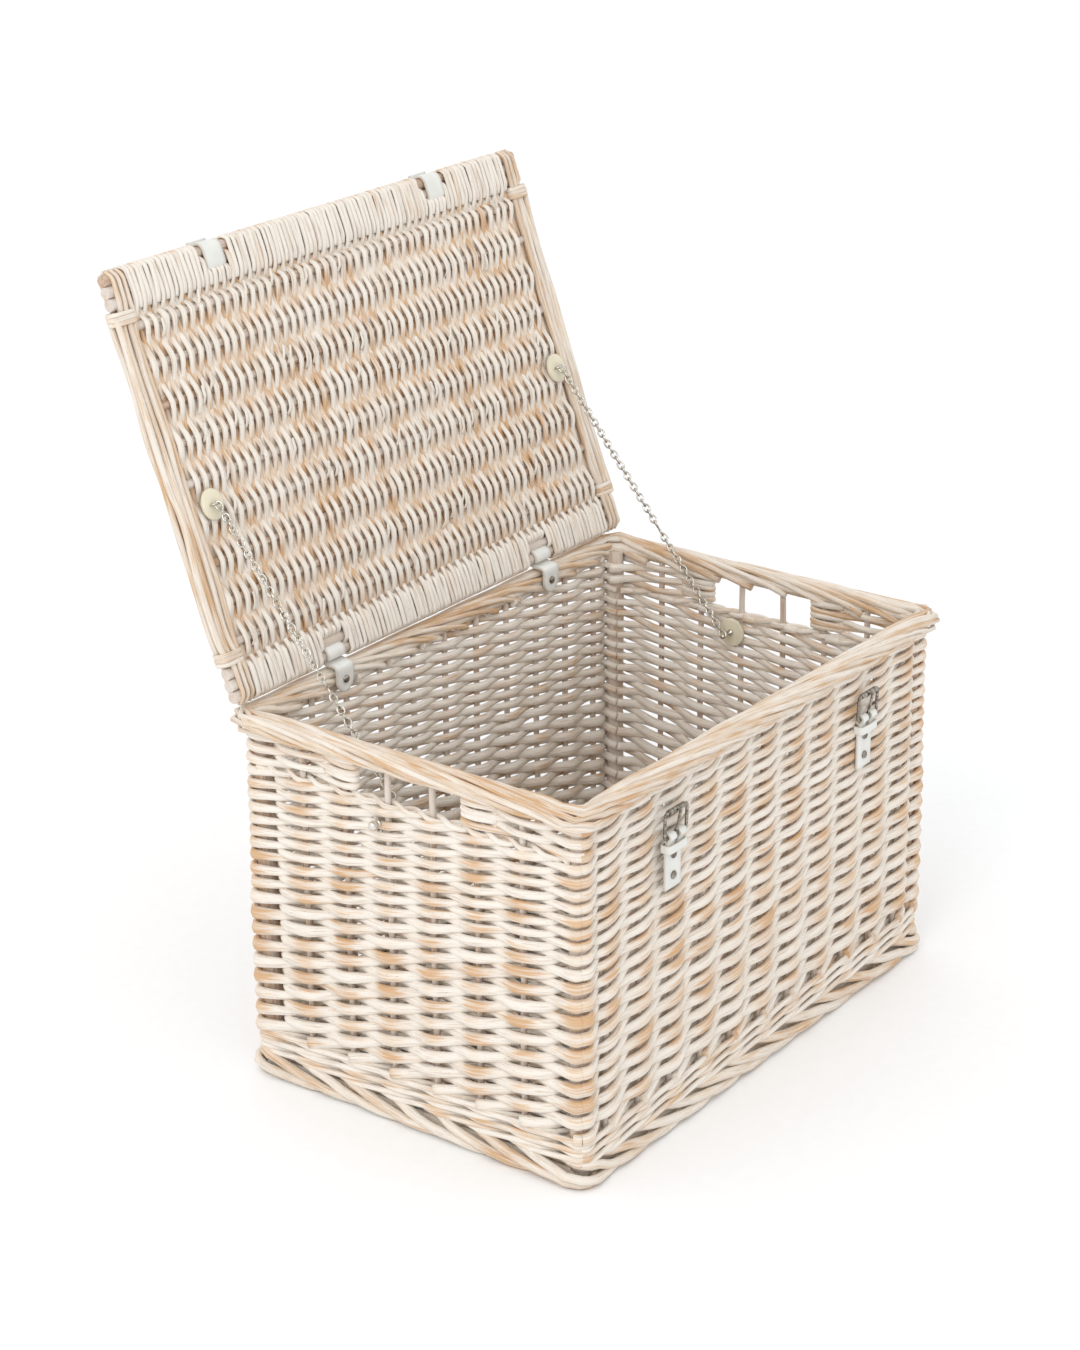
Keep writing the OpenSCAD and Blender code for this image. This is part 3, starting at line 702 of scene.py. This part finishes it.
# ---- Lid ends and their bindings ----
# At each end of the lid the weave is held by a bundle of long rods laid from front to back on both faces
# of the edge sticks, and tied by three turns of split rod near each corner.
both_sides = (("left", -1), ("right", 1))
bundle_mid = (lid_half + rim_high[0]) / 2
for name, sx in both_sides:
    bundle = []
    for face in (-1, 1):
        for n in range(4):
            x = lid_half + 3.2 + n * 6.2
            us = (-edge_r - 2.2, 0, 11, 23, 36, 60, 110, 160, 200, 240, 290, 330, 352, 364, 375, front_u)
            ws = (0.5, 7.3, 7.6, 7.0, 5.0, 4.0, 3.9, 3.9, 3.9, 3.9, 3.9, 4.0, 5.0, 7.0, 7.6, 7.3)
            rs = (1.7, 2.2, 2.4, 2.7, 3.1, 3.4, 3.4, 3.4, 3.4, 3.4, 3.4, 3.3, 3.0, 2.7, 2.4, 2.2)
            spine = [(sx * x, u, face * w, r * 0.93, 0.45) for u, w, r in zip(us, ws, rs)]
            spine.append((sx * x, front_u + edge_r + 2.0, face * 0.5, 1.7, 0.45))
            spine = np.array(spine)
            spine[4:-4, 0] += chance.normal(0, 1.3, len(spine) - 8)
            spine[4:-4, 2] += chance.normal(0, 0.7, len(spine) - 8)
            if n == 3:
                spine = spine[4:-4]
            bundle.append(on_lid(smooth(spine, 4)))
    lid_end = rods(f"lid_end_{name}_v", bundle, (1, 0, 0))
    place(lid_end, border_willow, "willow_border", "lid", f"lid_end_{name}")

turns = []
for sx in (-1, 1):
    for u in (35.5, 350.5):
        for n in (-1, 0, 1):
            loop = []
            for turn in np.linspace(0, 2 * math.pi, 17):
                c, s = math.cos(turn), math.sin(turn)
                x = bundle_mid + 12.6 * np.sign(c) * abs(c) ** 0.55
                w = 8.2 * np.sign(s) * abs(s) ** 0.55
                loop.append((sx * x, u + n * 4.1 + 0.5 * s, w, 2.2, 0.35))
            turns.append(on_lid(smooth(loop, 2)))
place(rods("bindings", turns, u_way, 0.9 / 2.2), border_willow, "willow_border", "lid", "lid_bindings")

# ---- Leather hinges ----
# A strip of white leather is looped round the lid's rear stick, folded over the rim and held down
# inside it by one round-headed rivet. The lid turns in the two loops.


def leather(name, face, edge, bumpy):
    """Leather with a fine pebbled face and cut edges that are a little darker."""
    made, shader, paint = finish(name, Specular_IOR_Level=0.4, Coat_Roughness=0.5)
    grain = paint.held("grain", 1)
    pebble = paint.noise(grain, (900.0, 900.0, 900.0), 3.0)
    cloud = paint.noise(grain, (60.0, 60.0, 60.0), 2.0)
    cut = paint.held("rub").step(0.35, 1.0)
    tint = tuple(0.93 * c for c in face[:3]) + (1.0,)
    lay(made, shader, Base_Color=(cut * 0.8).mix(cloud.step(0.35, 0.7).mix(face, tint), edge))
    lay(made, shader, Roughness=0.46 + pebble * 0.2)
    return lay(made, shader, Normal=(pebble + cloud * 0.5).bump(bumpy, 0.0004))


def straps(name, runs, lie, thick):
    """Flat strips with eased edges. A run's columns are x, y, z and half the width."""
    full = []
    for run in runs:
        n = len(run)
        full.append(np.column_stack([run[:, :3], run[:, 3], np.full(n, thick / 2), np.ones(n)]))
    half = np.mean([run[:, 3].max() for run in runs])
    ease = 1 - 0.45 / half
    shape = [(1, -0.45), (1, 0.45), (ease, 1), (0.55, 1), (0, 1), (-0.55, 1), (-ease, 1)]
    shape += [(-1, 0.45), (-1, -0.45), (-ease, -1), (-0.55, -1), (0, -1), (0.55, -1), (ease, -1)]
    return swept(name, full, lie, shape, edge=True)


def tongue(path, width, steps=4, tip=True):
    """A strip's run along a path of x, y, z, with its first end rounded if tip is set."""
    half = width / 2
    run = smooth(np.column_stack([path, np.full(len(path), half)]), steps)
    if tip:
        far = np.append(0, np.cumsum(np.linalg.norm(np.diff(run[:, :3], axis=0), axis=1)))
        gone = np.linspace(0, half, 12)
        extra = np.interp(gone, far, np.arange(len(far)))
        early = np.column_stack([np.interp(extra, np.arange(len(run)), run[:, c]) for c in range(3)])
        wide = np.sqrt(np.clip(half**2 - (half - gone) ** 2, 0.6, None))
        run = np.vstack([np.column_stack([early, wide]), run[far >= half][1:]])
    return run


def plated(name, dull, bright):
    """Nickel plate with faint scuffs."""
    made, shader, plate = finish(name, Metallic=1.0)
    scuff = plate.noise(plate.held("grain", 1), (400.0, 90.0, 90.0), 3.0)
    lay(made, shader, Base_Color=scuff.step(0.3, 0.7).mix(dull, bright))
    return lay(made, shader, Roughness=0.12 + scuff * 0.16, Normal=scuff.bump(0.06, 0.0002))


white_leather = leather("white_leather", colour(226, 226, 221), colour(198, 190, 178), 0.3)
# The nickel's two colours are set dark: painted dark reflections on the buckles, prongs and rivets, besides
# its faint scuffs.
nickel = plated("nickel", colour(104, 98, 88), colour(172, 166, 156))


def headed(at, way, profile):
    """A turned piece's run: its centre line from at, with a radius at each height."""
    at = np.asarray(at, float)
    way = np.asarray(way, float)
    return np.array([(*(at + way * h), r, 0.0) for h, r in profile])


def dome(radius, height):
    """The profile of a rivet's round head, with a thin rim under it."""
    steps = [(0.0, radius), (0.5, radius)]
    for t in np.linspace(0.08, 1, 8):
        turn = t * math.pi / 2
        steps.append((0.5 + (height - 0.5) * math.sin(turn), radius * max(0.02, math.cos(turn))))
    return steps


leather_t = 2.5
strap_w = 25.0
inside_y = mm("rim_rear")[0][1]
rim_top = rim_high[2]
tab_low = mm("hinge_strap_left")[0][2]
ring_r = edge_r + 0.05 + leather_t / 2
for name, sx in both_sides:
    path = [(inside_y - leather_t / 2, z) for z in np.linspace(tab_low, rim_top - 3, 5)]
    path += [(inside_y, rim_top + 0.6), (inside_y + 4, rim_top + 1.8), (hinge_y - 6, rim_top + 1.9)]
    for turn in (-90, -60, -30, 0, 30, 60, 90, 120, 150, 180, 205):
        angle = math.radians(turn)
        path.append((hinge_y + ring_r * math.cos(angle), hinge_z + ring_r * math.sin(angle)))
    spine = np.array([(sx * strap_x, y, z) for y, z in path])
    place(
        straps(f"hinge_leather_{name}", [tongue(spine, strap_w)], (1, 0, 0), leather_t),
        white_leather, "white_leather", "basket", f"hinge_strap_{name}",
    )
rivet_z = (tab_low + rim_top) / 2
rivet_head = dome(4.0, 2.5)
tab_rivets = [
    headed((sx * strap_x, inside_y - leather_t, rivet_z), (0, -1, 0), rivet_head) for sx in (-1, 1)
]
place(rods("tab_rivets", tab_rivets, (1, 0, 0), 1.0, 20), nickel, "nickel", "basket", "hinge_rivets")

# ---- Buckle straps, their keepers and rivets ----
# On the front wall a short white strap holds each buckle: it is folded round the buckle's bar with a slot
# for the prong, riveted twice, and carries a loop of leather that takes the closing strap's end.
front_face = wall_low[1]
wire_r = 1.6
bar_y = front_face - leather_t - wire_r - 0.15
bar_z = 300.0
strap_low = mm("buckle_strap_left")[0][2]
on_wall = front_face - leather_t / 2
over_wall = on_wall - leather_t
fold_r = wire_r + 0.05 + leather_t / 2
for name, sx in both_sides:
    x = sx * strap_x
    main = np.array([(x, on_wall, z) for z in np.linspace(strap_low, bar_z - 5, 7)])
    runs = [tongue(main, strap_w, 4, False)]
    for half in (-1, 1):
        mid = x + half * 7.6
        path = [(on_wall, bar_z - 8), (on_wall, bar_z - 4)]
        for turn in (0, 40, 80, 120, 160, 200):
            angle = math.radians(turn)
            path.append((bar_y + fold_r * math.cos(angle), bar_z + fold_r * math.sin(angle)))
        path += [(over_wall - 0.3, bar_z - 5), (over_wall, bar_z - 9), (over_wall, bar_z - 12)]
        runs.append(tongue(np.array([(mid, y, z) for y, z in path]), 9.8, 4, False))
    place(
        straps(f"buckle_leather_{name}", runs, (1, 0, 0), leather_t),
        white_leather, "white_leather", "basket", f"buckle_strap_{name}",
    )
    keep_low, keep_high = mm(f"strap_keeper_{name}")
    z = (keep_low[2] + keep_high[2]) / 2
    half_w = (keep_high[0] - keep_low[0]) / 2 - 0.9
    out = keep_low[1] + 3.4
    path = [(-half_w, front_face + 1), (-half_w, front_face - 2), (-half_w, out + 3)]
    path += [(-half_w + 1, out + 0.8), (-half_w + 3.4, out)]
    path += [(0, out - 0.4)] + [(-a, b) for a, b in path[::-1]]
    loop = tongue(np.array([(x + a, b, z) for a, b in path]), keep_high[2] - keep_low[2], 4, False)
    place(
        straps(f"keeper_{name}", [loop], (0, 0, 1), 1.8),
        white_leather, "white_leather", "basket", f"strap_keeper_{name}",
    )
wall_rivets = [
    headed((sx * strap_x, front_face - leather_t, strap_low + up), (0, -1, 0), rivet_head)
    for sx in (-1, 1)
    for up in (12, 32)
]
place(rods("wall_rivets", wall_rivets, (1, 0, 0), 1.0, 20), nickel, "nickel", "basket", "buckle_rivets")

# ---- Buckles ----
# Each buckle is a bent wire frame with a turning tube over its far side and a prong hooked on its bar.
# It stands almost upright against the wall.
buckle_l = 24.0
side_x = 16.7
roller_r = 2.7
prong_r = 1.25
lean = math.radians(2.0)
prong_lean = lean + math.asin((roller_r + prong_r + 0.4) / buckle_l)
round_corner = [(side_x, buckle_l - 3), (side_x - 0.9, buckle_l - 0.9), (side_x - 3, buckle_l)]


def from_bar(x, up, out, tilt):
    """A point of a buckle: up the buckle from its bar, and out from its plane."""
    y = bar_y - up * math.sin(tilt) - out * math.cos(tilt)
    z = bar_z + up * math.cos(tilt) - out * math.sin(tilt)
    return x, y, z


for name, sx in both_sides:
    x = sx * strap_x
    loop = [(side_x, buckle_l / 2), *round_corner, (0, buckle_l)]
    loop += [(-a, b) for a, b in round_corner[::-1]] + [(-side_x, buckle_l / 2)]
    loop += [(-a, buckle_l - b) for a, b in round_corner] + [(0, 0)]
    loop += [(a, buckle_l - b) for a, b in round_corner[::-1]] + [(side_x, buckle_l / 2)]
    spine = [from_bar(x + a, b, 0, lean) + (wire_r, 0.0) for a, b in loop]
    place(
        rods(f"buckle_wire_{name}", [smooth(spine, 4)], (0.02, 1, 0.4), 1.0, 12),
        nickel, "nickel", f"buckle_frame_{name}", f"buckle_frame_{name}",
    )
    tube = [(-12.5, 2.2), (-12.2, 2.6), (-11.8, roller_r), (-4, roller_r)]
    tube += [(-a, r) for a, r in tube[::-1]]
    spine = np.array([from_bar(x + a, buckle_l, 0, lean) + (r, 0.0) for a, r in tube])
    place(
        rods(f"roller_{name}", [spine], (0, 0, 1), 1.0, 20),
        nickel, "nickel", f"buckle_roller_{name}", f"buckle_roller_{name}",
    )
    hub = []
    for turn in np.linspace(-60, 250, 15):
        angle = math.radians(turn)
        hub.append(from_bar(x, 2.5 * math.sin(angle), -2.5 * math.cos(angle), prong_lean) + (1.0, 0.0))
    shaft = [(2.6, 0.0), (8, 0.3), (14, 0.35), (20, 0.3), (25, 0.1), (27.0, 0.0), (28.1, 0.0)]
    sizes = (prong_r, prong_r, prong_r, prong_r, 1.2, 1.1, 0.3)
    spine = [from_bar(x, up, out, prong_lean) + (r, 0.0) for (up, out), r in zip(shaft, sizes)]
    place(
        rods(f"prong_{name}", [smooth(hub, 2), smooth(spine, 4)], (1, 0, 0), 1.0, 12),
        nickel, "nickel", f"buckle_prong_{name}", f"buckle_prong_{name}",
    )

# ---- Closing straps ----
# A loop of white leather goes round the lid's two outer front sticks, held by a flat rivet, and the
# strap itself hangs from it, with a rounded end and punched holes for the prong.
loop_in = front_us[1] - edge_r - 0.5 - leather_t / 2
loop_out = front_u + edge_r + 0.4 + leather_t / 2
loop_w = edge_r + 0.4 + leather_t / 2
for name, sx in both_sides:
    x = sx * strap_x
    path = [((loop_in + loop_out) / 2, loop_w), (loop_out - 8, loop_w), (loop_out - 5, loop_w - 0.5)]
    path += [(loop_out - 2, loop_w - 2.2), (loop_out - 0.4, loop_w - 4.6), (loop_out, 0)]
    path += [(u, -w) for u, w in path[:-1][::-1]]
    fold = [(loop_in + 6, -loop_w), (loop_in + 2, -loop_w + 1), (loop_in, -loop_w + 4.5)]
    path += fold + [(u, -w) for u, w in fold[::-1]] + path[:1]
    run = smooth([(x, u, w, strap_w / 2) for u, w in path], 3)
    place(
        straps(f"loop_leather_{name}", [on_lid(run)], (1, 0, 0), leather_t),
        white_leather, "white_leather", "lid", f"lid_loop_{name}",
    )
    tail_low, tail_high = mm(f"lid_strap_{name}")
    tail_y = (tail_low[1] + tail_high[1]) / 2
    root_z = tail_high[2] - leather_t / 2
    spine = np.array([(x, tail_y, z) for z in np.linspace(tail_low[2], root_z + 0.6, 12)])
    tail = straps(f"tail_leather_{name}", [tongue(spine, strap_w)], (1, 0, 0), leather_t)
    punch_runs = []
    for n in range(4):
        spot = (x, tail_y - 5, tail_low[2] + 25 + 18 * n)
        punch_runs.append(headed(spot, (0, 1, 0), [(0, 2.0), (10, 2.0)]))
    punch = rods(f"punch_{name}", punch_runs, (1, 0, 0), 1.0, 20)
    cut = tail.modifiers.new("holes", "BOOLEAN")
    cut.operation = "DIFFERENCE"
    cut.solver = "EXACT"
    cut.object = punch
    bpy.context.view_layer.update()
    tail.data = bpy.data.meshes.new_from_object(tail.evaluated_get(bpy.context.evaluated_depsgraph_get()))
    tail.data.name = f"tail_leather_{name}"
    tail.modifiers.clear()
    bpy.data.objects.remove(punch)
    place(tail, white_leather, "white_leather", f"lid_strap_{name}", f"lid_strap_{name}")
flat_head = [(0.0, 4.0), (0.6, 4.0), (0.95, 3.6), (1.0, 0.1)]
loop_rivets = []
for sx in (-1, 1):
    spot = on_lid([(sx * strap_x, front_us[1] + edge_r, edge_r + 0.4 + leather_t)])[0]
    loop_rivets.append(headed(spot, w_way, flat_head))
place(rods("loop_rivets", loop_rivets, (1, 0, 0), 1.0, 20), nickel, "nickel", "lid", "lid_loop_rivets")

# ---- Stays: washers, bolts, hooks and chains ----
# A chain at each end holds the lid open. It hangs on a bolt through the end wall and on a staple in the
# lid, each through a cream leather washer, and the bolt has a bright ball for a head outside.
chain_plate = plated("chain_plate", colour(172, 166, 154), colour(226, 222, 214))
cream_leather = leather("cream_leather", colour(226, 218, 194), colour(204, 192, 160), 0.4)
washer_r = 14.5
washer = [(-0.4, washer_r - 0.6), (0.0, washer_r - 0.1), (0.6, washer_r), (2.2, washer_r)]
washer += [(2.8, washer_r - 0.4), (3.0, washer_r - 1.2), (3.1, 3.0), (3.15, 0.1)]
ball = [(-1.0, 3.4), (0.4, 3.4), (0.6, 2.6), (1.5, 2.4)]
ball += [(6.0 - 4.8 * math.cos(t), max(0.1, 4.8 * math.sin(t))) for t in np.linspace(0.5, math.pi, 12)]
pin = [(0, 3.4), (1.6, 3.4), (2.0, 2.8), (2.1, 1.5), (13, 1.5), (13.2, 2.2), (14.6, 2.6), (16.0, 2.2)]
pin += [(16.6, 0.2)]
hook_u = 170.0
hook_w = -17.5
staple = [(-4.4, -11.5), (-4.4, -15), (-3.6, -17), (-2, hook_w)]
staple += [(-a, w) for a, w in staple[::-1]]
lower_l = 127.5
level = np.array([1.0, 0, 0])


def links(start, heading, other, length):
    """Oval wire links along a stretch of chain, each turned a quarter from the last."""
    count = max(2, round((length - 2) / 6.3))
    step = (length - 1.0) / count
    made = []
    for n in range(count):
        mid = start + heading * (step * (n + 0.5) - 0.4)
        flat = (level + other * (1 if n % 2 else -1)) / math.sqrt(2)
        ring = []
        for t in np.linspace(0, 2 * math.pi, 17):
            reach = (step / 2 + 1.25) * math.cos(t)
            ring.append((*(mid + heading * reach + flat * 3.0 * math.sin(t)), 0.95, 0.0))
        made.append(np.array(ring))
    return made


for name, sx in both_sides:
    disc_low, disc_high = mm(f"wall_washer_{name}")
    bolt_y = (disc_low[1] + disc_high[1]) / 2
    bolt_z = (disc_low[2] + disc_high[2]) / 2
    stay_x = sx * (end_in - washer_r - 0.8)
    patch = headed((sx * end_in, bolt_y, bolt_z), (-sx, 0, 0), washer)
    disc = rods(f"wall_patch_{name}", [patch], (0, 0, 1), 1.0, 40)
    place(disc, cream_leather, "cream_leather", "basket", f"wall_washer_{name}")
    head = headed((sx * end_out, bolt_y, bolt_z), (sx, 0, 0), ball)
    inner = headed((sx * (end_in - 3), bolt_y, bolt_z), (-sx, 0, 0), pin)
    place(
        rods(f"ball_bolt_{name}", [head, inner], (0, 0, 1), 1.0, 20),
        chain_plate, "nickel", "basket", f"stay_bolt_{name}",
    )
    spot = on_lid([(stay_x, hook_u, -9.5)])[0]
    disc = rods(f"lid_patch_{name}", [headed(spot, -w_way, washer)], u_way, 0.9, 40)
    place(disc, cream_leather, "cream_leather", "lid", f"lid_washer_{name}")
    wire = smooth([(stay_x + a, hook_u, w, 1.3, 0.0) for a, w in staple], 4)
    place(
        rods(f"staple_{name}", [on_lid(wire)], u_way, 1.0, 10),
        chain_plate, "nickel", "lid", f"stay_hook_{name}",
    )
    low_end = np.array([stay_x, bolt_y, bolt_z])
    high_end = on_lid([(stay_x, hook_u, hook_w)])[0]
    stay_l = np.linalg.norm(high_end - low_end)
    way = (high_end - low_end) / stay_l
    other = np.cross(way, level)
    lower = links(low_end, way, other, lower_l)
    upper = links(high_end, -way, other, stay_l - lower_l)
    for half, runs in (("lower", lower), ("upper", upper)):
        body = f"chain_{half}_{name}"
        first = rods(f"{body}_links", runs[1::2], level - other, 1.0, 6)
        second = rods(f"{body}_turned", runs[::2], level + other, 1.0, 6)
        place(first, chain_plate, "nickel", body, body)
        second.data.materials.append(chain_plate)
        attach(second, body)

# ---- Studio ----
# A plain pale floor under soft light from all round, with a large soft lamp to the left and above.
# The camera looks down a little on the open trunk from beyond its left front corner.
bpy.ops.mesh.primitive_plane_add(size=60)
floor = bpy.context.object
floor.name = "floor"
paper, paper_shader, sheet = finish("pale_paper", Roughness=0.9, Specular_IOR_Level=0.1)
fibre = sheet.noise(sheet.node("ShaderNodeTexCoord", out=3), (90.0, 90.0, 90.0), 2.0)
lay(paper, paper_shader, Base_Color=fibre.mix(colour(248, 249, 250), colour(244, 245, 246)))
floor.data.materials.append(paper)

world = bpy.data.worlds.new("studio")
world.use_nodes = True
world.node_tree.nodes["Background"].inputs["Color"].default_value = (1.0, 1.0, 1.0, 1.0)
world.node_tree.nodes["Background"].inputs["Strength"].default_value = 1.08
bpy.context.scene.world = world
bpy.context.scene.view_settings.view_transform = "Standard"


def lamp(name, at, size, power):
    """A square soft lamp aimed at the middle of the trunk."""
    light = bpy.data.lights.new(name, "AREA")
    light.size = size
    light.energy = power
    made = bpy.data.objects.new(name, light)
    made.location = at
    made.rotation_euler = (Vector((0, 0, 0.3)) - Vector(at)).to_track_quat("-Z", "Y").to_euler()
    bpy.context.collection.objects.link(made)


lamp("key", (-3.0, -0.7, 2.5), 1.6, 30)

azimuth, height, roll = math.radians(-53.37), math.radians(22.13), math.radians(-0.47)
out = math.cos(height)
back = Vector((math.sin(azimuth) * out, -math.cos(azimuth) * out, math.sin(height)))
right = Vector((math.cos(azimuth), math.sin(azimuth), 0))
up = back.cross(right)
tilted_right = right * math.cos(roll) + up * math.sin(roll)
tilted_up = up * math.cos(roll) - right * math.sin(roll)
camera = bpy.data.objects.new("camera", bpy.data.cameras.new("camera"))
camera.data.lens = 83.44
camera.data.sensor_width = 36.0
camera.data.clip_end = 200.0
turned = Matrix((tilted_right, tilted_up, back)).transposed().to_4x4()
camera.matrix_world = Matrix.Translation((-2.20804, -1.57318, 1.45169)) @ turned
bpy.context.collection.objects.link(camera)
bpy.context.scene.camera = camera
